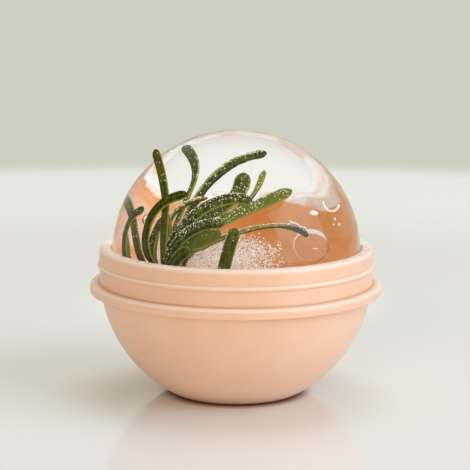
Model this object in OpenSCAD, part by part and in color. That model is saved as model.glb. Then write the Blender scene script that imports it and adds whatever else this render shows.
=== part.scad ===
// Lower half of an ice ball mold, with the ball in it and rosemary frozen in the ice.
// Origin at the centre of the foot, +Z up. Millimetres.

/* [Ice ball] */
// Diameter of the ball
ball_d = 63.5; // [45:0.5:90]
// Clearance between the ice and the wall of its cavity
ball_gap = 0.15; // [0.05:0.05:0.5]

/* [Bowl] */
// Thickness under the ball, at the middle of the foot
floor_t = 3.2; // [2:0.1:6]
// Thickness of the wall beside the ball, at the collar
wall_t = 2.65; // [1.5:0.05:5]
// Drop of the bowl's outer round below the middle of the ball
bowl_drop = 4.4; // [2:0.1:8]
// Radius of the rounded edge of the foot
foot_round = 5; // [1:0.5:8]

/* [Collar] */
// Height of the rim above the middle of the ball
lip_rise = 2.4; // [1:0.1:5]
// Height of the collar, from the flange to the rim
collar_h = 9.1; // [6:0.1:14]
// Radius of the rounded rim
rim_round = 1; // [0.2:0.1:1.2]
// Depth of the bead's middle below the rim
bead_drop = 4.65; // [3:0.05:5]
// Radius of the bead's round section
bead_r = 0.75; // [0.4:0.05:1]
// Height of the bead above the collar's surface
bead_proud = 0.5; // [0.2:0.05:0.7]

/* [Flange] */
// Reach of the flange beyond the collar
flange_w = 2.45; // [1:0.05:6]
// Thickness of the flange
flange_t = 2.4; // [1.5:0.1:4]
// Radius of the flange's upper edge
flange_round = 1.1; // [0.2:0.1:1.4]

/* [Rosemary] */
// Diameter of the stem
stem_d = 2.2; // [2:0.1:2.8]
// Thickness of a leaf
leaf_t = 1.1; // [0.9:0.1:1.2]
// Width of the leaves, as a share of their listed width
leaf_share = 1; // [0.8:0.05:1.1]

/* [Hidden] */

ball_r = ball_d / 2;
cavity_r = ball_r + ball_gap;
ball_z = floor_t + cavity_r;
rim_z = ball_z + lip_rise;
collar_r = cavity_r + wall_t;
bowl_r = collar_r;
bowl_z = ball_z - bowl_drop;
flange_top = rim_z - collar_h;
flange_z = flange_top - flange_t;
flange_r = collar_r + flange_w;
foot_r = sqrt(pow(bowl_r - foot_round, 2) - pow(bowl_z - foot_round, 2));
foot_top = foot_round - foot_round * (bowl_z - foot_round) / (bowl_r - foot_round);
leaf_rings = 9;

// The stem, in hundredths of the ball's radius from the middle of the ball: its cut
// end, two places that it passes through, and its growing tip.
stem_way = [[6, -24, -70], [-26, -6, -50], [-46, -20, -16], [-52, -64, -4]];

// Each leaf: how far up the stem it grows, two places that it passes through, its tip
// and its width, all in the same hundredths, and its turn about its own length.
leaves = [
    [0.96, [-53, -63, 34], [-55, -63, 62], [-63, -45, 90], 7.6, 0],
    [0.895, [-68, -62, 18], [-63, -66, 44], [-37, -78, 60], 9.1, 0],
    [0.77, [-79, -40, -2], [-83, -36, 24], [-70, -50, 43], 8.2, 0],
    [0.68, [-67, -30, 6], [-71, -18, 26], [-81, 5, 40], 8.8, 0],
    [0.645, [-38, -18, 26], [-27, -4, 50], [-35, 15, 69], 7.2, 20],
    [0.61, [-32, -11, 24], [-12, 4, 50], [18, 25, 57], 7.6, 70],
    [0.715, [-26, -26, 23], [-5, -14, 36], [4, 5, 51], 11.3, 0],
    [0.58, [-20, -8, 12], [3, -4, 31], [16, 15, 49], 6.3, 60],
    [0.81, [-25, -38, 20], [1, -23, 31], [34, 5, 40], 9.4, 0],
    [0.75, [-24, -31, 9], [14, -23, 22], [49, -35, 20], 7.6, 60],
    [0.12, [-12, -44, -38], [-9, -60, -2], [0, -62, 30], 9.4, 0],
    [0.945, [-41, -58, 26], [-18, -55, 46], [11, -50, 47], 9.4, 0],
    [0.985, [-45, -69, 18], [-30, -76, 33], [-9, -82, 38], 8.8, 0],
    [1, [-47, -73, 4], [-42, -80, 13], [-34, -88, 18], 9.4, 0],
    [0.77, [-48, -36, 21], [-40, -33, 37], [-19, -29, 44], 7.6, 60],
    [0.845, [-61, -49, 8], [-58, -46, 22], [-51, -42, 34], 8.2, 0],
    [0.795, [-57, -38, 3], [-57, -37, 13], [-55, -33, 22], 8.8, 0],
    [0.6, [-66, -18, -16], [-72, -12, 2], [-74, -2, 16], 8.8, 0],
    [0.885, [-46, -50, 10], [-47, -49, 24], [-49, -46, 38], 8.2, 20],
    [0.865, [-39, -47, 9], [-25, -46, 18], [-10, -43, 22], 12.6, 0],
    [0.2, [10, -4, -50], [26, 2, -36], [34, 10, -22], 8.8, 0],
    [0.3, [-20, 14, -46], [-14, 32, -38], [-8, 46, -26], 8.8, 0],
    [0.5, [-58, -12, -34], [-72, -10, -26], [-84, -4, -14], 8.8, 0],
    [0.52, [-42, 6, -26], [-44, 24, -22], [-42, 42, -20], 8.8, 0],
    [0.24, [-26, -32, -58], [-32, -46, -50], [-38, -60, -34], 8.8, 0],
    [0.44, [-44, -28, -40], [-52, -44, -34], [-56, -60, -24], 8.8, 0],
];

// Outline of a leaf, across and through it, as shares of its width and its
// thickness, from the channel along its underside round the rolled edges and the domed top.
leaf_outline = [[0, -0.1], [0.3, -0.35], [0.5, 0], [0.34, 0.4], [0, 0.5], [-0.34, 0.4], [-0.5, 0], [-0.3, -0.35]];

// A smooth way through four points, from the first at 0 to the last at 1.
function through(q, t) =
    let (a = t * 3, b = a - 1, c = a - 2, d = a - 3)
    -b * c * d / 6 * q[0] + a * c * d / 2 * q[1] - a * b * d / 2 * q[2] + a * b * c / 6 * q[3];

function unit(v) = v / norm(v);

function way_at(q, t) = through(q, t) * ball_r / 100;

// Direction of a way at t.
function heading(q, t) = unit(through(q, t + 0.01) - through(q, t - 0.01));

// A leaf is narrow where it leaves the stem and blunt at its tip.
function fullness(t) = (0.5 + 0.5 * min(1, t / 0.25)) * (t < 0.8 ? 1 : max(0.3, sqrt(1 - pow((t - 0.8) / 0.21, 2))));

function leaf_way(row) = [through(stem_way, row[0]), row[1], row[2], row[3]];

// One ring of a leaf, its top turned away from the middle of the ball.
function leaf_ring(row, t) =
    let (
        q = leaf_way(row),
        p = way_at(q, t),
        d = heading(q, t),
        out = unit(unit(p) - d * (unit(p) * d)),
        side = cross(d, out),
        across = side * cos(row[5]) + out * sin(row[5]),
        up = out * cos(row[5]) - side * sin(row[5]),
        w = row[4] / 100 * ball_r * leaf_share * fullness(t),
        h = leaf_t * fullness(t)
    )
    [for (o = leaf_outline) p + across * o[0] * w + up * o[1] * h];

// Closes a row of rings into one solid.
module skin(rings) {
    n = len(rings[0]);
    m = len(rings);
    polyhedron(
        points = [for (r = rings) each r],
        faces = concat(
            [[for (i = [n : -1 : 1]) i % n]],
            [for (k = [0 : m - 2], i = [0 : n - 1])
                let (j = (i + 1) % n, a = k * n, b = a + n)
                each [[a + i, a + j, b + i], [a + j, b + j, b + i]]],
            [[for (i = [0 : n - 1]) (m - 1) * n + i]]
        )
    );
}

module leaf(row) {
    skin([for (k = [0 : leaf_rings - 1]) leaf_ring(row, k / (leaf_rings - 1))]);
}

module stem() {
    rings = 10;
    sides = 8;
    skin([for (k = [0 : rings - 1])
        let (t = k / (rings - 1), p = way_at(stem_way, t), d = heading(stem_way, t),
             side = unit(cross(d, [0, 0, 1])), up = cross(side, d))
        [for (i = [0 : sides - 1]) p + (side * cos(i * 360 / sides) + up * sin(i * 360 / sides)) * stem_d / 2]]);
}

module sprig() {
    stem();
    for (row = leaves) leaf(row);
}

// Right half of the mold's section.
module mold_section() {
    difference() {
        union() {
            intersection() {
                translate([0, bowl_z]) circle(bowl_r, $fn = 180);
                translate([0, foot_top]) square([flange_r, flange_top - foot_top]);
            }
            intersection() {
                translate([foot_r, foot_round]) circle(foot_round, $fn = 72);
                square([flange_r, foot_top]);
            }
            square([foot_r, foot_top]);
            translate([0, flange_z]) square([flange_r - flange_round, flange_t]);
            translate([0, flange_z]) square([flange_r, flange_t - flange_round]);
            translate([flange_r - flange_round, flange_top - flange_round]) circle(flange_round, $fn = 48);
            translate([0, flange_top]) square([collar_r, collar_h - rim_round]);
            translate([0, flange_top]) square([collar_r - rim_round, collar_h]);
            translate([collar_r - rim_round, rim_z - rim_round]) circle(rim_round, $fn = 48);
            translate([collar_r + bead_proud - bead_r, rim_z - bead_drop]) circle(bead_r, $fn = 48);
        }
        translate([0, ball_z]) circle(cavity_r, $fn = 180);
        translate([0, ball_z]) square([cavity_r, 2 * lip_rise]);
        translate([-2 * bowl_r, -bowl_r]) square([2 * bowl_r, 4 * bowl_r]);
    }
}

module mold_half() {
    color([0.93, 0.74, 0.6])
        rotate_extrude($fn = 180) mold_section();
}

module ice_ball() {
    color([0.88, 0.93, 0.95, 0.5])
        translate([0, 0, ball_z])
            difference() {
                sphere(ball_r, $fn = 72);
                sprig();
            }
}

module rosemary_sprig() {
    color([0.24, 0.34, 0.1])
        translate([0, 0, ball_z]) sprig();
}

mold_half();
ice_ball();
rosemary_sprig();
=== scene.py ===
import math
import random

import bmesh
import bpy
from mathutils import Matrix, Vector


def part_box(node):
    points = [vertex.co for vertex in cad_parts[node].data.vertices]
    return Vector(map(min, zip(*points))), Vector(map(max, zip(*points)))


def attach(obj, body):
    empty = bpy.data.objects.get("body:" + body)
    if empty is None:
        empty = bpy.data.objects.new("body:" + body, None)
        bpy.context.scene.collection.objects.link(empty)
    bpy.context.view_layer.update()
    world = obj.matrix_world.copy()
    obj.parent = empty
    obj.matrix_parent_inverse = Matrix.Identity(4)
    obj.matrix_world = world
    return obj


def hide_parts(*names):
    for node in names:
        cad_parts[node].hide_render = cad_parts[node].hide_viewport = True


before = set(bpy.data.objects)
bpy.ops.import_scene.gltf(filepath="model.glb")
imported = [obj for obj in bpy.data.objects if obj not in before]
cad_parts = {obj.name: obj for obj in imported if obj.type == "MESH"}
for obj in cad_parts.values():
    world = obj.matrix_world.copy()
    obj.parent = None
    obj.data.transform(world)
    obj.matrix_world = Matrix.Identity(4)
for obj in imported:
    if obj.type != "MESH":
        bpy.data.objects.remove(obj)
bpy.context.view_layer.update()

mm = 0.001
tiny = 0.001 * mm
iceLow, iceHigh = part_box("ice_ball")
ballRadius = (iceHigh.z - iceLow.z) / 2
ballMiddle = Vector((0, 0, (iceHigh.z + iceLow.z) / 2))
bpy.context.scene.view_settings.view_transform = "Standard"


# Camera

cameraView = {
    "aimHeight": 36.46 * mm,
    "distance": 500 * mm,
    "elevation": 10.27,
    "pitch": 0.41,
    "yaw": 0.04,
    "roll": 0.31,
    "lens": 151.2,
    "clipStart": 0.01,
    "clipEnd": 100,
}


def placeCamera(view):
    rise = math.radians(view["elevation"])
    away = Vector((0, -math.cos(rise), math.sin(rise))) * view["distance"]
    turn = Matrix.Rotation(math.radians(90 - view["elevation"] + view["pitch"]), 4, "X")
    turn = turn @ Matrix.Rotation(math.radians(view["yaw"]), 4, "Y")
    turn = turn @ Matrix.Rotation(math.radians(view["roll"]), 4, "Z")
    bpy.ops.object.camera_add()
    camera = bpy.context.object
    camera.name = "camera"
    camera.matrix_world = Matrix.Translation(away + Vector((0, 0, view["aimHeight"]))) @ turn
    camera.data.lens = view["lens"]
    camera.data.clip_start = view["clipStart"]
    camera.data.clip_end = view["clipEnd"]
    bpy.context.scene.camera = camera


# Working in object and edit mode

def clearSelection():
    bpy.ops.object.select_all(action="DESELECT")


def primitive(name, add, **sizes):
    clearSelection()
    add(**sizes)
    piece = bpy.context.object
    piece.name = name
    piece.data.name = name
    return piece


def makeActive(piece):
    clearSelection()
    piece.select_set(True)
    bpy.context.view_layer.objects.active = piece


def openMesh(piece):
    makeActive(piece)
    bpy.ops.object.mode_set(mode="EDIT")
    bpy.ops.mesh.select_all(action="DESELECT")


def closeMesh():
    bpy.ops.object.mode_set(mode="OBJECT")


def pick(piece, kind, test):
    # selects the vertices, edges or faces of an open mesh that pass the test
    modes = {"verts": "VERT", "edges": "EDGE", "faces": "FACE"}
    bpy.ops.mesh.select_mode(type=modes[kind])
    bpy.ops.mesh.select_all(action="DESELECT")
    mesh = bmesh.from_edit_mesh(piece.data)
    for part in getattr(mesh, kind):
        part.select_set(bool(test(part)))
    mesh.select_flush_mode()
    bmesh.update_edit_mesh(piece.data)


def joinInto(piece, others):
    makeActive(piece)
    for other in others:
        other.select_set(True)
    bpy.ops.object.join()
    return piece


def copyOf(seed, change):
    # one copy of a seed piece, with its own mesh moved by a matrix
    copy = seed.copy()
    copy.data = seed.data.copy()
    copy.data.transform(change)
    bpy.context.scene.collection.objects.link(copy)
    return copy


def settle(piece):
    # moves a piece's place into its mesh
    piece.data.transform(piece.matrix_world)
    piece.matrix_world = Matrix.Identity(4)


def applyModifier(piece, kind, **values):
    makeActive(piece)
    made = piece.modifiers.new(kind.lower(), kind)
    for name, value in values.items():
        setattr(made, name, value)
    bpy.ops.object.modifier_apply(modifier=made.name)


def smoothByAngle(piece, degrees):
    makeActive(piece)
    bpy.ops.object.shade_smooth_by_angle(angle=math.radians(degrees))


# Shader nodes as Python expressions

class Wire:
    def __init__(self, tree, socket=None):
        self.tree = tree
        self.socket = socket

    def node(self, kind, settings=None, inputs=None, output=0):
        made = self.tree.nodes.new("ShaderNode" + kind)
        for name, value in (settings or {}).items():
            setattr(made, name, value)
        for name, value in (inputs or {}).items():
            place = made.inputs[name]
            if isinstance(value, Wire):
                self.tree.links.new(value.socket, place)
            else:
                place.default_value = value
        return Wire(self.tree, made.outputs[output]) if made.outputs else made

    def math(self, operation, first, second=0.0):
        return self.node("Math", {"operation": operation}, {0: first, 1: second})

    def __add__(self, other):
        return self.math("ADD", self, other)

    def __sub__(self, other):
        return self.math("SUBTRACT", self, other)

    def __rsub__(self, other):
        return self.math("SUBTRACT", other, self)

    def __mul__(self, other):
        return self.math("MULTIPLY", self, other)

    __radd__ = __add__
    __rmul__ = __mul__

    def absolute(self):
        return self.math("ABSOLUTE", self)

    def blend(self, below, above):
        # 0 where the value is under the first number, 1 past the second
        return self.node("MapRange", {"interpolation_type": "SMOOTHSTEP"},
                         {"Value": self, "From Min": below, "From Max": above})

    def past(self, level, span):
        # from 0 to 1 over a span, whose two ends are measured from a level
        return self.blend(level + span[0], level + span[1])

    def band(self, level, span, soft):
        # 1 within such a span, and 0 where it is further outside than the last number
        low, high = level + span[0], level + span[1]
        return self.blend(low - soft, low) * (1 - self.blend(high, high + soft))

    def noise(self, size, detail=2.0, roughness=0.5, distortion=0.0):
        # cloudy noise on this vector, with blotches of about that size in metres
        return self.node("TexNoise", None, {"Vector": self, "Scale": 1 / size, "Detail": detail,
                                            "Roughness": roughness, "Distortion": distortion})

    def colours(self, first, second):
        # from the first colour to the second as this value goes from 0 to 1
        return self.node("Mix", {"data_type": "RGBA"}, {0: self, 6: first, 7: second}, 2)

    def seen(self):
        # 1 where the camera sees a surface, directly, mirrored or through the ice
        camera, glossy, through = (self.node("LightPath", output="Is " + kind + " Ray")
                                   for kind in ("Camera", "Glossy", "Transmission"))
        return camera + glossy + through

    def bump(self, height, normal=None):
        inputs = {"Height": self, "Distance": height, "Strength": 1.0}
        if normal:
            inputs["Normal"] = normal
        return self.node("Bump", None, inputs)


def newMaterial(name):
    made = bpy.data.materials.new(name)
    made.use_nodes = True
    made.node_tree.nodes.clear()
    return made, Wire(made.node_tree)


def paint(piece, material):
    piece.data.materials.clear()
    piece.data.materials.append(material)
    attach(piece, "root")


def rgb(red, green, blue):
    return (red, green, blue, 1.0)


# Floor, world and lamps

studio = {
    "floorReach": 12.0,
    "floorDrop": 0.05 * mm,
    "nearColour": rgb(0.82, 0.815, 0.775),
    "middleColour": rgb(0.95, 0.96, 0.92),
    "farColour": rgb(0.61, 0.62, 0.53),
    "middleFrom": 0.19,
    "middleTo": 0.33,
    "farFrom": 0.39,
    "farTo": 0.455,
    "floorRoughness": 0.10,
    "poolMiddle": (0, 0.11, 0),
    "poolReach": (0.055, 0.065, 1),
    "poolCore": 0.35,
    "poolColour": rgb(0.16, 0.145, 0.125),
    # painted contact shadow round the foot
    "contactShadowFrom": 15.5 * mm,
    "contactShadowTo": 20.5 * mm,
    "contactShadowColour": rgb(0.26, 0.07, 0.02),
    "worldColour": rgb(1.0, 0.94, 0.87),
    "worldLight": 0.43,
    "worldShown": 1.1,
}

lamps = {
    "windowLamp": {
        "place": (1.35, -0.55, 0.68),
        "size": 1.4,
        "power": 18,
        "colour": (0.90, 1.03, 1.28),
        "mirrored": True,
    },
    "frontLamp": {
        "place": (-0.35, -1.68, 0.34),
        "size": 0.9,
        "power": 12,
        "colour": (1, 0.88, 0.74),
        "mirrored": False,
    },
    "topLamp": {
        "place": (0.10, 0.45, 1.45),
        "size": 1.0,
        "power": 7.5,
        "colour": (1, 1, 1),
        "mirrored": False,
    },
}


def floorMaterial():
    made, wire = newMaterial("paleFloor")
    place = wire.node("TexCoord", output="Object")
    away = wire.node("VectorMath", {"operation": "LENGTH"}, {0: place}, "Value")
    middle = away.blend(studio["middleFrom"], studio["middleTo"])
    far = away.blend(studio["farFrom"], studio["farTo"])
    table = middle.colours(studio["nearColour"], studio["middleColour"])
    # a painted contact shadow: a dark line round the foot
    contactShadow = away.blend(studio["contactShadowFrom"], studio["contactShadowTo"])
    table = contactShadow.colours(studio["contactShadowColour"], table)
    # light that the clear ball gathers on the table behind it
    fromPool = wire.node("VectorMath", {"operation": "SUBTRACT"}, {0: place, 1: studio["poolMiddle"]})
    fromPool = wire.node("VectorMath", {"operation": "DIVIDE"}, {0: fromPool, 1: studio["poolReach"]})
    fromPool = wire.node("VectorMath", {"operation": "LENGTH"}, {0: fromPool}, "Value")
    pool = fromPool.blend(studio["poolCore"], 1.0).colours(studio["poolColour"], rgb(0, 0, 0))
    near = wire.node("BsdfPrincipled", None, {
        "Base Color": far.colours(table, studio["farColour"]),
        "Roughness": studio["floorRoughness"],
        "Emission Color": pool,
        "Emission Strength": 1.0,
    })
    beyond = wire.node("Emission", None, {"Color": studio["farColour"], "Strength": 1.0})
    shown = wire.node("MixShader", None, {0: wire.seen() * far, 1: near, 2: beyond})
    wire.node("OutputMaterial", None, {"Surface": shown})
    return made


def buildStudio():
    floor = primitive("floor", bpy.ops.mesh.primitive_plane_add, size=studio["floorReach"],
                      location=(0, 0, -studio["floorDrop"]))
    floor.data.materials.append(floorMaterial())
    world = bpy.data.worlds.new("studioWorld")
    world.use_nodes = True
    world.node_tree.nodes.clear()
    wire = Wire(world.node_tree)
    # the light on the pieces, and what is seen behind them and in them
    lighting = wire.node("Background", None, {
        "Color": studio["worldColour"],
        "Strength": studio["worldLight"],
    })
    shown = wire.node("Background", None, {
        "Color": studio["farColour"],
        "Strength": studio["worldShown"],
    })
    sky = wire.node("MixShader", None, {0: wire.seen(), 1: lighting, 2: shown})
    wire.node("OutputWorld", None, {"Surface": sky})
    bpy.context.scene.world = world
    for name, lamp in lamps.items():
        clearSelection()
        aim = (ballMiddle - Vector(lamp["place"])).to_track_quat("-Z", "Y").to_euler()
        bpy.ops.object.light_add(type="AREA", location=lamp["place"], rotation=aim)
        made = bpy.context.object
        made.name = name
        made.data.size = lamp["size"]
        made.data.energy = lamp["power"]
        made.data.color = lamp["colour"]
        made.visible_glossy = lamp["mirrored"]
        made.visible_transmission = False


# Mold

mold = {
    "gap": 0.15 * mm,
    "wall": 2.65 * mm,
    "bowlDrop": 4.4 * mm,
    "lipRise": 2.4 * mm,
    "collarHeight": 9.1 * mm,
    "rimRound": 1.0 * mm,
    "beadDrop": 4.65 * mm,
    "beadRadius": 0.75 * mm,
    "beadProud": 0.5 * mm,
    "flangeReach": 2.45 * mm,
    "flangeThick": 2.4 * mm,
    "flangeRound": 1.1 * mm,
    "footRound": 5 * mm,
    "sharpRound": 0.3 * mm,
    "sharpSegments": 4,
    "spinSteps": 180,
    "arcSteps": {"foot": 10, "bowl": 44, "flange": 12, "bead": 16, "rim": 10, "cavity": 60},
    "smoothAngle": 50,
    "colour": rgb(0.83, 0.53, 0.35),
    "deepColour": rgb(0.81, 0.505, 0.325),
    "blotch": 11 * mm,
    "blotchBlend": (0.35, 0.65),
    "roughness": 0.36,
    "roughnessChange": 0.08,
    # painted shade in the corner between collar and flange
    "creaseShadeColour": rgb(0.66, 0.36, 0.20),
    "cornerReach": 0.7 * mm,
    "cornerSpan": (0.2 * mm, 0.6 * mm),
    # painted sheen on the tops of the rim, the bead and the flange
    "sheenTopColour": rgb(0.85, 0.65, 0.52),
    "rimSheen": (-1.3 * mm, -0.4 * mm),
    "beadSheen": (0.2 * mm, 0.8 * mm),
    "beadSoft": 0.2 * mm,
    "beadSide": (0, 0.3 * mm),
    "flangeSheen": (-0.4 * mm, 0.1 * mm),
    "flangeSoft": 0.3 * mm,
    "flangeSide": (0.6 * mm, 1.0 * mm),
    # frost and painted light, for the back of the rim and the cavity wall above the ice
    "frostAndLightColour": rgb(0.98, 0.95, 0.90),
    "frostAndLightBlotch": 4 * mm,
    "frostAndLightBlend": (0.36, 0.5),
    "frostAndLightRim": (-0.5 * mm, -0.1 * mm),
    "frostAndLightBack": (-5 * mm, 12 * mm),
    "wetRim": 0.14,
    # deeper orange on the cavity wall where the ice touches it: wetness and painted shade
    "wetAndShadeColour": rgb(0.94, 0.46, 0.16),
    "wetAndShadeDeep": rgb(0.88, 0.31, 0.06),
    "wetAndShadeBlotch": 7 * mm,
    "wetAndShadeBlend": (0.38, 0.62),
    "wetAndShadeRise": 1.95 * mm,
    "wetAndShadeRagged": 1.6 * mm,
    "wetAndShadeEdge": (-0.2 * mm, 0.2 * mm),
    "wallSpan": (0.1 * mm, 0.3 * mm),
    "frostAndLightRight": (6 * mm, 12 * mm),
    "frostAndLightLower": 1.2 * mm,
    "frostAndLightThin": 0.6,
    "hazeAndLightLeft": (-15 * mm, -5 * mm),
    "hazeAndLight": 0.45,
    "grain": 0.35 * mm,
    "grainHeight": 0.006 * mm,
    "wave": 12 * mm,
    "waveHeight": 0.015 * mm,
}


def arc(middle, radius, start, end, steps):
    # points round a middle in the XZ plane, angles in degrees from +X towards +Z
    points = []
    for i in range(steps + 1):
        angle = math.radians(start + (end - start) * i / steps)
        points.append(middle + Vector((math.cos(angle), 0, math.sin(angle))) * radius)
    return points


def at(x, z):
    return Vector((x, 0, z))


def moldSection():
    # the mold's section from the middle of the foot, up the outside and down the cavity,
    # and the corners to soften
    cavity = ballRadius + mold["gap"]
    bowl = cavity + mold["wall"]
    bowlZ = ballMiddle.z - mold["bowlDrop"]
    rimZ = ballMiddle.z + mold["lipRise"]
    top = rimZ - mold["collarHeight"]
    under = top - mold["flangeThick"]
    reach = bowl + mold["flangeReach"]
    footRound = mold["footRound"]
    steps = mold["arcSteps"]
    foot = at(math.sqrt((bowl - footRound) ** 2 - (bowlZ - footRound) ** 2), footRound)
    bead = at(bowl + mold["beadProud"] - mold["beadRadius"], rimZ - mold["beadDrop"])
    half = math.degrees(math.acos((mold["beadRadius"] - mold["beadProud"]) / mold["beadRadius"]))
    footAngle = math.degrees(math.atan2(footRound - bowlZ, foot.x))
    underAngle = math.degrees(math.asin((under - bowlZ) / bowl))
    line = [at(0, 0)] + arc(foot, footRound, -90, footAngle, steps["foot"])
    line += arc(at(0, bowlZ), bowl, footAngle, underAngle, steps["bowl"])[1:]
    sharp = [line[-1], at(reach, under), at(bowl, top), at(cavity, rimZ)]
    line += [at(reach, under)]
    flangeRound = mold["flangeRound"]
    line += arc(at(reach - flangeRound, top - flangeRound), flangeRound, 0, 90, steps["flange"])
    line += [at(bowl, top)]
    line += arc(bead, mold["beadRadius"], -half, half, steps["bead"])
    rimRound = mold["rimRound"]
    line += arc(at(bowl - rimRound, rimZ - rimRound), rimRound, 0, 90, steps["rim"])
    line += [at(cavity, rimZ)]
    line += arc(at(0, ballMiddle.z), cavity, 0, -90, steps["cavity"])
    return line, sharp


def buildMold():
    line, sharp = moldSection()
    piece = primitive("moldShell", bpy.ops.mesh.primitive_plane_add, size=1 * mm, location=(0, 0, 0))
    bpy.ops.object.mode_set(mode="EDIT")
    bpy.ops.mesh.merge(type="CENTER")
    for last, point in zip(line, line[1:]):
        bpy.ops.mesh.extrude_region_move(TRANSFORM_OT_translate={"value": point - last})
    pick(piece, "verts", lambda vert: any((vert.co - corner).length < tiny for corner in sharp))
    bpy.ops.mesh.bevel(offset=mold["sharpRound"], segments=mold["sharpSegments"], affect="VERTICES")
    bpy.ops.mesh.select_all(action="SELECT")
    bpy.ops.mesh.spin(steps=mold["spinSteps"], angle=2 * math.pi, center=(0, 0, 0), axis=(0, 0, 1))
    bpy.ops.mesh.select_all(action="SELECT")
    bpy.ops.mesh.remove_doubles(threshold=tiny)
    bpy.ops.mesh.normals_make_consistent(inside=False)
    closeMesh()
    smoothByAngle(piece, mold["smoothAngle"])
    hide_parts("mold_half")
    paint(piece, siliconeMaterial())


def siliconeMaterial():
    made, wire = newMaterial("peachSilicone")
    place = wire.node("TexCoord", output="Object")
    right, back, height = (wire.node("SeparateXYZ", None, {0: place}, axis) for axis in "XYZ")
    fromAxis = wire.node("VectorMath", {"operation": "MULTIPLY"}, {0: place, 1: (1, 1, 0)})
    fromAxis = wire.node("VectorMath", {"operation": "LENGTH"}, {0: fromAxis}, "Value")
    fromMiddle = wire.node("VectorMath", {"operation": "DISTANCE"}, {0: place, 1: ballMiddle}, "Value")
    cavity = ballRadius + mold["gap"]
    collar = cavity + mold["wall"]
    rimZ = ballMiddle.z + mold["lipRise"]
    wetAndShadeTop = ballMiddle.z + mold["wetAndShadeRise"] + 0.5 * mold["wetAndShadeRagged"]
    flangeTop = rimZ - mold["collarHeight"]
    beadZ = rimZ - mold["beadDrop"]
    # moulded silicone, with painted shade in the corner between collar and flange
    blotch = place.noise(mold["blotch"], detail=3.0).blend(*mold["blotchBlend"])
    corner = (height - flangeTop).absolute().blend(0, mold["cornerReach"])
    corner = (1 - corner) * (1 - fromAxis.past(collar, mold["cornerSpan"]))
    dry = corner.colours(blotch.colours(mold["colour"], mold["deepColour"]), mold["creaseShadeColour"])
    # painted sheen: paler on top of the rim, the bead and the flange, where the light from above falls
    rim = height.past(rimZ, mold["rimSheen"])
    bead = height.band(beadZ, mold["beadSheen"], mold["beadSoft"])
    bead = bead * fromAxis.past(collar, mold["beadSide"])
    flange = height.band(flangeTop, mold["flangeSheen"], mold["flangeSoft"])
    flange = flange * fromAxis.past(collar, mold["flangeSide"])
    sheenTops = wire.math("MAXIMUM", rim, wire.math("MAXIMUM", bead, flange))
    dry = sheenTops.colours(dry, mold["sheenTopColour"])
    # frost and a painted highlight on the back of the rim, in patches, growing towards the back
    rimTop = height.past(rimZ, mold["frostAndLightRim"])
    mottle = place.noise(mold["frostAndLightBlotch"], detail=3.0, roughness=0.6)
    patches = mottle.blend(*mold["frostAndLightBlend"])
    outside = (rimTop * patches * back.blend(*mold["frostAndLightBack"])).colours(dry, mold["frostAndLightColour"])
    # the wall of the cavity: deeper orange where the ice touches it, partly wetness and partly painted
    # shade, and paler above that, partly frost and partly painted light, lower down on the right, with
    # a thin haze on the left that is also partly frost and partly painted light
    wetAndShade = place.noise(mold["wetAndShadeBlotch"], detail=3.0, roughness=0.6, distortion=0.6)
    wetAndShade = wetAndShade.blend(*mold["wetAndShadeBlend"]).colours(mold["wetAndShadeColour"], mold["wetAndShadeDeep"])
    ragged = height + mottle * mold["wetAndShadeRagged"]
    ragged = ragged + right.blend(*mold["frostAndLightRight"]) * mold["frostAndLightLower"]
    frostedAndLit = ragged.past(wetAndShadeTop, mold["wetAndShadeEdge"])
    frostedAndLit = frostedAndLit * (patches * (1 - mold["frostAndLightThin"]) + mold["frostAndLightThin"])
    hazeAndLight = (1 - right.blend(*mold["hazeAndLightLeft"])) * patches * mold["hazeAndLight"]
    frostedAndLit = wire.math("MAXIMUM", frostedAndLit, hazeAndLight)
    wall = frostedAndLit.colours(wetAndShade, mold["frostAndLightColour"])
    inside = 1 - fromMiddle.past(cavity, mold["wallSpan"])
    wave = place.noise(mold["wave"], detail=1.0).bump(mold["waveHeight"])
    shader = wire.node("BsdfPrincipled", None, {
        "Base Color": inside.colours(outside, wall),
        "Roughness": blotch * mold["roughnessChange"] + mold["roughness"] - rimTop * mold["wetRim"],
        "Specular IOR Level": 0.6,
        "Normal": place.noise(mold["grain"]).bump(mold["grainHeight"], wave),
        "Subsurface Weight": 0.3,
        "Subsurface Radius": (1.0, 0.45, 0.25),
        "Subsurface Scale": 2 * mm,
        "Sheen Weight": 0.15,
        "Sheen Roughness": 0.5,
    })
    wire.node("OutputMaterial", None, {"Surface": shader})
    return made


# Rosemary. Ways are in hundredths of the ball's radius from the middle of the ball.

rosemary = {
    "stemWay": [(6, -24, -70), (-26, -6, -50), (-46, -20, -16), (-52, -64, -4)],
    "stemWidth": 2.2 * mm,
    "leafThick": 1.1 * mm,
    "stemRings": 30,
    "stemSides": 16,
    "leafRings": 24,
    "leafSides": 12,
    "crowding": 0.7,
    "channelRise": 0.4,
    "edgeRise": 0.073,
    "midribDrop": 0.07,
    "footWidth": 0.5,
    "footLength": 0.25,
    "tipLength": 0.6,
    "tipEnd": 0.02,
    "smoothAngle": 60,
    "darkGreen": rgb(0.008, 0.014, 0.001),
    "green": rgb(0.058, 0.072, 0.004),
    "yellowGreen": rgb(0.28, 0.27, 0.035),
    "blotch": 1.2 * mm,
    "blotchBlend": (0.42, 0.62),
    "fleck": 0.22 * mm,
    "fleckBlend": (0.56, 0.66),
    "fleckPale": 0.35,
    "ribBlend": (0.03, 0.1),
    "ribPale": 0.25,
    # painted highlight along the leaf edges
    "edgeHighlightBlend": (0.36, 0.47),
    "edgeHighlight": 0.8,
    "underBlend": (-0.15, 0.05),
    "channelBlend": (0.30, 0.42),
    "roughness": 0.4,
    "roughnessChange": 0.15,
    "wrinkle": 0.5 * mm,
    "wrinkleHeight": 0.05 * mm,
    "iorInIce": 1.12,
}

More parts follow.
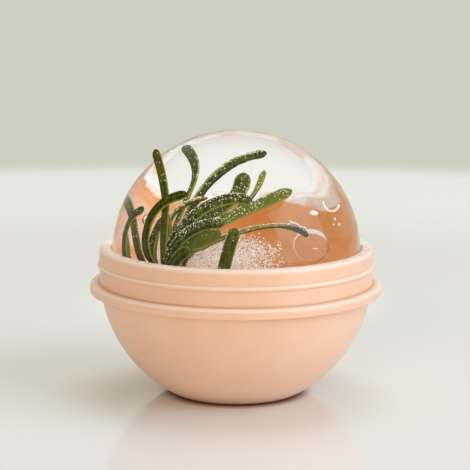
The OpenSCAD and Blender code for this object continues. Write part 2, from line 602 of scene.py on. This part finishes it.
# how far up the stem each leaf grows, two places it passes through, its tip,
# its width in mm, its turn in degrees, its tone and its frost
leaves = {
    "A": (0.96, (-53, -63, 34), (-55, -63, 62), (-63, -45, 90), 2.4, 0, 0.15, 0.5),
    "B": (0.895, (-68, -62, 18), (-63, -66, 44), (-37, -78, 60), 2.9, 0, 0.0, 0.05),
    "C": (0.77, (-79, -40, -2), (-83, -36, 24), (-70, -50, 43), 2.6, 0, 0.0, 0.1),
    "D": (0.68, (-67, -30, 6), (-71, -18, 26), (-81, 5, 40), 2.8, 0, 0.2, 0.2),
    "E": (0.645, (-38, -18, 26), (-27, -4, 50), (-35, 15, 69), 2.3, 20, 0.15, 0.6),
    "F": (0.61, (-32, -11, 24), (-12, 4, 50), (18, 25, 57), 2.4, -110, 0.0, 1.4),
    "G": (0.715, (-26, -26, 23), (-5, -14, 36), (4, 5, 51), 3.6, 0, 0.12, 0.8),
    "H": (0.58, (-20, -8, 12), (3, -4, 31), (16, 15, 49), 2.0, -120, 0.05, 0.7),
    "I": (0.81, (-25, -38, 20), (1, -23, 31), (34, 5, 40), 3.0, 0, 0.35, 1.0),
    "J": (0.75, (-24, -31, 9), (14, -23, 22), (49, -35, 20), 2.4, -120, 0.0, 1.2),
    "K": (0.12, (-12, -44, -38), (-9, -60, -2), (0, -62, 30), 3.0, 0, 0.1, 0.7),
    "L": (0.945, (-41, -58, 26), (-18, -55, 46), (11, -50, 47), 3.0, 0, 0.0, 1.6),
    "M": (0.985, (-45, -69, 18), (-30, -76, 33), (-9, -82, 38), 2.8, 0, 0.0, 1.6),
    "N": (1.0, (-47, -73, 4), (-42, -80, 13), (-34, -88, 18), 3.0, 0, 0.0, 0.1),
    "O": (0.77, (-48, -36, 21), (-40, -33, 37), (-19, -29, 44), 2.4, -120, 0.2, 2.4),
    "S": (0.845, (-61, -49, 8), (-58, -46, 22), (-51, -42, 34), 2.6, 0, 0.1, 0.3),
    "Q": (0.795, (-57, -38, 3), (-57, -37, 13), (-55, -33, 22), 2.8, 0, 0.8, 0.1),
    "R": (0.6, (-66, -18, -16), (-72, -12, 2), (-74, -2, 16), 2.8, 0, 0.7, 0.1),
    "T": (0.885, (-46, -50, 10), (-47, -49, 24), (-49, -46, 38), 2.6, 20, 0.9, 0.6),
    "U": (0.865, (-39, -47, 9), (-25, -46, 18), (-10, -43, 22), 4.0, 0, 0.28, 0.3),
    "V1": (0.2, (10, -4, -50), (26, 2, -36), (34, 10, -22), 2.8, 0, 0.3, 0.0),
    "V2": (0.3, (-20, 14, -46), (-14, 32, -38), (-8, 46, -26), 2.8, 0, 0.3, 0.0),
    "V3": (0.5, (-58, -12, -34), (-72, -10, -26), (-84, -4, -14), 2.8, 0, 0.5, 0.0),
    "V4": (0.52, (-42, 6, -26), (-44, 24, -22), (-42, 42, -20), 2.8, 0, 0.3, 0.0),
    "V5": (0.24, (-26, -32, -58), (-32, -46, -50), (-38, -60, -34), 2.8, 0, 0.3, 0.0),
    "V6": (0.44, (-44, -28, -40), (-52, -44, -34), (-56, -60, -24), 2.8, 0, 0.3, 0.0),
}


def through(way, t):
    # a smooth way through four points, from the first at 0 to the last at 1
    a, b, c, d = (3 * t - i for i in range(4))
    return (way[0] * (-b * c * d / 6) + way[1] * (a * c * d / 2)
            - way[2] * (a * b * d / 2) + way[3] * (a * b * c / 6))


def asWay(points):
    return [Vector(p) * ballRadius / 100 for p in points]


def heading(way, t):
    step = 0.01
    return (through(way, t + step) - through(way, t - step)).normalized()


def wayLength(way):
    steps = 20
    return sum((through(way, (i + 1) / steps) - through(way, i / steps)).length for i in range(steps))


def fullness(t, tip):
    # a leaf is narrow where it leaves the stem and has a round tip, whose length is a
    # share of the way
    foot = rosemary["footWidth"]
    grown = foot + (1 - foot) * min(1, t / rosemary["footLength"])
    return grown * math.sqrt(max(rosemary["tipEnd"], 1 - (max(0, t - 1 + tip) / tip) ** 2))


def tipShare(way, width):
    return rosemary["tipLength"] * width / wayLength(way)


def leafFrame(way, roll, t):
    # place, and the directions across the leaf and out of its top, at t
    place = through(way, t)
    along = heading(way, t)
    unit = place.normalized()
    out = (unit - along * unit.dot(along)).normalized()
    side = along.cross(out)
    turn = math.radians(roll)
    across = side * math.cos(turn) + out * math.sin(turn)
    up = out * math.cos(turn) - side * math.sin(turn)
    return place, across, up


def leafWay(row):
    start = through(asWay(rosemary["stemWay"]), row[0])
    return [start] + asWay(row[1:4])


def runsUp(edge):
    # whether an edge runs along a stem or leaf that is still 1 long
    return abs(edge.verts[0].co.z - edge.verts[1].co.z) > 0.5


def modelBlade():
    # one straight leaf, 1 wide, 1 thick and 1 long, its top towards +Y
    blade = primitive("blade", bpy.ops.mesh.primitive_cylinder_add, vertices=rosemary["leafSides"],
                      radius=0.5, depth=1.0, location=(0, 0, 0.5), end_fill_type="TRIFAN")
    settle(blade)
    openMesh(blade)
    # the levels that tell the rows of vertices apart
    lowest, beside, highest = -0.49, -0.4, 0.49
    pick(blade, "verts", lambda v: v.co.y < lowest)
    bpy.ops.transform.translate(value=(0, rosemary["channelRise"], 0))
    pick(blade, "verts", lambda v: lowest < v.co.y < beside)
    bpy.ops.transform.translate(value=(0, rosemary["edgeRise"], 0))
    pick(blade, "verts", lambda v: v.co.y > highest)
    bpy.ops.transform.translate(value=(0, -rosemary["midribDrop"], 0))
    pick(blade, "edges", runsUp)
    bpy.ops.mesh.subdivide(number_cuts=rosemary["leafRings"] - 1)
    closeMesh()
    return blade


def setAttribute(mesh, name, values):
    made = mesh.attributes.new(name, "FLOAT", "POINT")
    made.data.foreach_set("value", values)


def growLeaf(blade, name, row):
    way = leafWay(row)
    width, roll, tone = row[4] * mm, row[5], row[6]
    tip = tipShare(way, width)
    crowding = rosemary["crowding"]
    leaf = copyOf(blade, Matrix.Identity(4))
    leaf.name = "leaf" + name
    points = [v.co.copy() for v in leaf.data.vertices]
    for vert, point in zip(leaf.data.vertices, points):
        # the rings stand closer together towards the tip
        point.z = point.z * (1 + crowding - crowding * point.z)
        place, across, up = leafFrame(way, roll, point.z)
        full = fullness(point.z, tip)
        wide = across * point.x * width * full
        thick = up * point.y * rosemary["leafThick"] * full
        vert.co = ballMiddle + place + wide + thick
    setAttribute(leaf.data, "across", [p.x for p in points])
    setAttribute(leaf.data, "up", [p.y for p in points])
    setAttribute(leaf.data, "tone", [tone] * len(points))
    return leaf


def growStem():
    stem = primitive("rosemary", bpy.ops.mesh.primitive_cylinder_add, vertices=rosemary["stemSides"],
                     radius=0.5, depth=1.0, location=(0, 0, 0.5), end_fill_type="TRIFAN")
    settle(stem)
    openMesh(stem)
    pick(stem, "edges", runsUp)
    bpy.ops.mesh.subdivide(number_cuts=rosemary["stemRings"] - 1)
    closeMesh()
    way = asWay(rosemary["stemWay"])
    for vert in stem.data.vertices:
        t = vert.co.z
        along = heading(way, t)
        side = along.cross(Vector((0, 0, 1))).normalized()
        up = side.cross(along)
        offset = (side * vert.co.x + up * vert.co.y) * rosemary["stemWidth"]
        vert.co = ballMiddle + through(way, t) + offset
    count = len(stem.data.vertices)
    for name, value in (("across", 0.5), ("up", 0.0), ("tone", 1.0)):
        setAttribute(stem.data, name, [value] * count)
    return stem


def buildRosemary():
    stem = growStem()
    blade = modelBlade()
    grown = [growLeaf(blade, name, row) for name, row in leaves.items()]
    bpy.data.objects.remove(blade)
    piece = joinInto(stem, grown)
    openMesh(piece)
    bpy.ops.mesh.select_all(action="SELECT")
    bpy.ops.mesh.normals_make_consistent(inside=False)
    closeMesh()
    applyModifier(piece, "SUBSURF", levels=1, render_levels=1)
    smoothByAngle(piece, rosemary["smoothAngle"])
    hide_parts("rosemary_sprig")
    paint(piece, rosemaryMaterial())


def rosemaryMaterial():
    made, wire = newMaterial("rosemaryLeaf")
    place = wire.node("TexCoord", output="Object")
    across, up, tone = (wire.node("Attribute", {"attribute_name": name}, None, "Fac")
                        for name in ("across", "up", "tone"))
    blotch = place.noise(rosemary["blotch"], detail=4.0, roughness=0.6).blend(*rosemary["blotchBlend"])
    fleck = place.noise(rosemary["fleck"], detail=1.0).blend(*rosemary["fleckBlend"])
    beside = across.absolute()
    rib = 1 - beside.blend(*rosemary["ribBlend"])
    edge = beside.blend(*rosemary["edgeHighlightBlend"])
    under = (1 - up.blend(*rosemary["underBlend"])) * (1 - beside.blend(*rosemary["channelBlend"]))
    # the palest of these counts; the pale leaf edges are a painted highlight
    pale = wire.math("MAXIMUM", under, edge * rosemary["edgeHighlight"])
    pale = wire.math("MAXIMUM", pale, rib * rosemary["ribPale"])
    pale = wire.math("MAXIMUM", pale, fleck * rosemary["fleckPale"])
    pale = wire.math("MAXIMUM", pale, tone)
    top = blotch.colours(rosemary["darkGreen"], rosemary["green"])
    shader = wire.node("BsdfPrincipled", None, {
        "Base Color": pale.colours(top, rosemary["yellowGreen"]),
        "Roughness": blotch * rosemary["roughnessChange"] + rosemary["roughness"],
        "IOR": rosemary["iorInIce"],
        "Normal": place.noise(rosemary["wrinkle"]).bump(rosemary["wrinkleHeight"]),
        "Subsurface Weight": 0.1,
        "Subsurface Radius": (0.6, 1.0, 0.2),
        "Subsurface Scale": 0.6 * mm,
    })
    wire.node("OutputMaterial", None, {"Surface": shader})
    return made


# Ice

ice = {
    "detail": 6,
    "waveSize": 14 * mm,
    "waveDepth": 0.3 * mm,
    "rippleSize": 3.5 * mm,
    "rippleHeight": 0.02 * mm,
    "colour": rgb(0.985, 0.992, 0.995),
    "ior": 1.31,
    "gathered": rgb(1.24, 1.22, 1.19),
    "bubbleDetail": 4,
    "cloudDetail": 1,
    "cloudSeed": 11,
    "cloudMiddle": (-12, -2, -2),
    "cloudReach": (44, 24, 16),
    "cloudSpread": 0.5,
    "cloudFlattest": 0.7,
    "cloudShift": 1.2 * mm,
    "cloudRounds": 5,
    "cloudSpots": 60,
    "cloudSmallest": 0.08 * mm,
    "cloudLargest": 0.40 * mm,
}

# air bubbles: middle in hundredths of the ball's radius from the middle of the ball,
# radius in mm, stretch, and turn in degrees
bubbles = {
    "big": ((41.6, 30, -0.6), 3.1, (1, 0.3, 1.03), 0),
    "drop": ((41, -50, 31), 0.7, (1.5, 0.5, 0.8), 20),
    "dropBelow": ((48, -50, 28), 0.5, (1, 0.6, 1), 0),
    "left": ((12, 0, 2), 0.6, (1, 0.5, 1.2), 0),
    "leftBelow": ((18, 0, -5), 0.5, (1, 0.5, 1), 0),
    "middle": ((24, 0, 1), 0.7, (1, 0.5, 1.1), 0),
    "middleBelow": ((28, 0, -6), 0.6, (1.2, 0.5, 1), 0),
    "besideC": ((-69, -57, 37), 1.1, (0.9, 0.4, 1.1), 0),
    "besideN": ((-29, -88, 18), 1.0, (1.2, 0.3, 0.9), 0),
}


def bubbleSeed(detail):
    # an air bubble: a small ball whose faces point into it
    seed = primitive("bubble", bpy.ops.mesh.primitive_ico_sphere_add, subdivisions=detail, radius=1.0)
    openMesh(seed)
    bpy.ops.mesh.select_all(action="SELECT")
    bpy.ops.mesh.flip_normals()
    closeMesh()
    return seed


def bubbleMatrix(place, radius, stretch, turn):
    middle = ballMiddle + Vector(place) * ballRadius / 100
    return (Matrix.Translation(middle) @ Matrix.Rotation(math.radians(turn), 4, "Y")
            @ Matrix.Diagonal(Vector(stretch) * radius).to_4x4())


def cloud(seed, dice, sizes):
    # a cluster of small balls in the middle of the ice, more of them near its middle,
    # and copies of the cluster that are turned half round and shifted a little
    middle, reach = ice["cloudMiddle"], ice["cloudReach"]
    balls = []
    while len(balls) < sizes["cloudSpots"]:
        offset = Vector([dice.gauss(0, ice["cloudSpread"]) for _ in range(3)])
        if offset.length < 1:
            place = [middle[i] + offset[i] * reach[i] for i in range(3)]
            radius = dice.uniform(sizes["cloudSmallest"], sizes["cloudLargest"])
            stretch = (1, 1, dice.uniform(ice["cloudFlattest"], 1))
            balls.append(copyOf(seed, bubbleMatrix(place, radius, stretch, 0)))
    cluster = joinInto(balls[0], balls[1:])
    centre = ballMiddle + Vector(middle) * ballRadius / 100
    copies = []
    for i in range(1, sizes["cloudRounds"]):
        shift = Vector([dice.uniform(-1, 1) for _ in range(3)]) * ice["cloudShift"]
        turn = Matrix.Rotation(math.pi, 4, "XYZ"[i % 3])
        move = Matrix.Translation(centre + shift) @ turn @ Matrix.Translation(-centre)
        copies.append(copyOf(cluster, move))
    return joinInto(cluster, copies)


def buildIce():
    ball = primitive("iceBall", bpy.ops.mesh.primitive_ico_sphere_add, subdivisions=ice["detail"],
                     radius=ballRadius, location=ballMiddle)
    settle(ball)
    clouds = bpy.data.textures.new("iceWaves", "CLOUDS")
    clouds.noise_scale = ice["waveSize"]
    applyModifier(ball, "DISPLACE", texture=clouds, texture_coords="LOCAL", mid_level=1.0,
                  strength=ice["waveDepth"])
    fine = bubbleSeed(ice["cloudDetail"])
    large = bubbleSeed(ice["bubbleDetail"])
    voids = [copyOf(large, bubbleMatrix(place, radius * mm, stretch, turn))
             for place, radius, stretch, turn in bubbles.values()]
    voids.append(cloud(fine, random.Random(ice["cloudSeed"]), ice))
    for seed in (fine, large):
        bpy.data.objects.remove(seed)
    joinInto(ball, voids)
    bpy.ops.object.shade_smooth()
    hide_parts("ice_ball")
    paint(ball, iceMaterial())


def iceMaterial():
    made, wire = newMaterial("clearIce")
    place = wire.node("TexCoord", output="Object")
    clear = wire.node("BsdfPrincipled", None, {
        "Base Color": ice["colour"],
        "Roughness": 0.0,
        "IOR": ice["ior"],
        "Transmission Weight": 1.0,
        "Normal": place.noise(ice["rippleSize"]).bump(ice["rippleHeight"]),
    })
    # in shadows, the light that a ball of ice gathers
    shadow = wire.node("LightPath", output="Is Shadow Ray")
    lit = wire.node("BsdfTransparent", None, {"Color": ice["gathered"]})
    shown = wire.node("MixShader", None, {0: shadow, 1: clear, 2: lit})
    wire.node("OutputMaterial", None, {"Surface": shown})
    return made


# Frost beads on the leaves, and what is white in the ice: a frost cloud, and specks and a curl that
# are painted highlights

frostAndGlints = {
    "perMetre": 20000,
    "from": 0.12,
    "to": 0.985,
    "underShare": 0.12,
    "smallest": 0.06 * mm,
    "largest": 0.14 * mm,
    "cloudRounds": 18,
    "cloudSpots": 360,
    "cloudSmallest": 0.06 * mm,
    "cloudLargest": 0.17 * mm,
    "colour": rgb(0.95, 0.84, 0.77),
    "brightColour": rgb(1.0, 0.97, 0.93),
    "blotch": 0.8 * mm,
    "roughness": 0.25,
    "seed": 5,
}

# white specks in the ice that are painted highlights and glints, in the same measures as the bubbles
glintSpecks = {
    "oval": ((56, -50, 40), 0.85, (1.6, 0.4, 0.85), 0),
    "belowOval": ((50, -50, 27), 0.3, (1.5, 0.5, 0.6), 15),
    "spark": ((75, -50, 37), 0.35, (1, 0.5, 1.5), -20),
    "sparkBelow": ((79, -50, 33), 0.32, (1.3, 0.5, 1), 0),
    "sparkBeside": ((73, -50, 32.5), 0.22, (1, 0.5, 1), 0),
    "streak": ((56, -50, 13.6), 0.2, (4.5, 0.6, 0.7), 6),
    "leftStreak": ((38, -50, 33), 0.2, (2.2, 0.6, 0.8), 25),
}

# a bright curl on the right, a painted highlight, cut open at the top along a slope
glintCurl = {
    "middle": (72, -50, 49),
    "radius": 2.1 * mm,
    "thick": 0.15,
    "flat": 0.9,
    "cutHeight": 0.1,
    "cutSlope": 0.15,
    "steps": 24,
    "sides": 6,
}


def modelGlintCurl():
    piece = primitive("glintCurl", bpy.ops.mesh.primitive_torus_add, rotation=(math.pi / 2, 0, 0),
                      major_radius=1.0, minor_radius=glintCurl["thick"],
                      major_segments=glintCurl["steps"], minor_segments=glintCurl["sides"])
    settle(piece)
    openMesh(piece)
    bpy.ops.mesh.select_all(action="SELECT")
    bpy.ops.mesh.bisect(plane_co=(0, 0, glintCurl["cutHeight"]), plane_no=(glintCurl["cutSlope"], 0, 1),
                        clear_outer=True, use_fill=True)
    closeMesh()
    piece.data.transform(bubbleMatrix(glintCurl["middle"], glintCurl["radius"], (1, 1, glintCurl["flat"]), 0))
    return piece


def frostPlaces(dice):
    # places on the leaves, most of them where they face up, each with a radius
    places = []
    under = frostAndGlints["underShare"]
    for row in leaves.values():
        way = leafWay(row)
        width = row[4] * mm
        tip = tipShare(way, width)
        for _ in range(int(wayLength(way) * frostAndGlints["perMetre"] * row[7])):
            t = dice.uniform(frostAndGlints["from"], frostAndGlints["to"])
            angle = dice.uniform(0, 2 * math.pi)
            place, across, up = leafFrame(way, row[5], t)
            facing = across * math.cos(angle) + up * math.sin(angle)
            if dice.random() > under + (1 - under) * facing.z:
                continue
            full = fullness(t, tip)
            edge = (across * math.cos(angle) * width
                    + up * math.sin(angle) * rosemary["leafThick"]) * full / 2
            radius = dice.uniform(frostAndGlints["smallest"], frostAndGlints["largest"])
            places.append((ballMiddle + place + edge, radius))
    return places


def buildFrostAndGlints():
    dice = random.Random(frostAndGlints["seed"])
    seed = primitive("frostBeadsAndGlints", bpy.ops.mesh.primitive_ico_sphere_add, subdivisions=1, radius=1.0)
    beads = [copyOf(seed, Matrix.Translation(place) @ Matrix.Scale(radius, 4))
             for place, radius in frostPlaces(dice)]
    # the white specks and the curl are painted highlights
    beads += [copyOf(seed, bubbleMatrix(place, radius * mm, stretch, turn))
              for place, radius, stretch, turn in glintSpecks.values()]
    beads += [cloud(seed, dice, frostAndGlints), modelGlintCurl()]
    bpy.data.objects.remove(seed)
    piece = joinInto(beads[0], beads[1:])
    piece.name = "frostBeadsAndGlints"
    bpy.ops.object.shade_smooth()
    piece.visible_shadow = False
    paint(piece, frostAndGlintMaterial())


# the colour of the frost beads, the frost cloud and the painted highlights
def frostAndGlintMaterial():
    made, wire = newMaterial("frostAndGlints")
    place = wire.node("TexCoord", output="Object")
    shader = wire.node("BsdfPrincipled", None, {
        "Base Color": place.noise(frostAndGlints["blotch"]).colours(frostAndGlints["colour"], frostAndGlints["brightColour"]),
        "Roughness": frostAndGlints["roughness"],
    })
    wire.node("OutputMaterial", None, {"Surface": shader})
    return made


placeCamera(cameraView)
buildStudio()
print("stage: camera, floor and lamps")
buildMold()
print("stage: mold")
buildRosemary()
print("stage: rosemary")
buildFrostAndGlints()
print("stage: frost")
buildIce()
print("stage: ice")
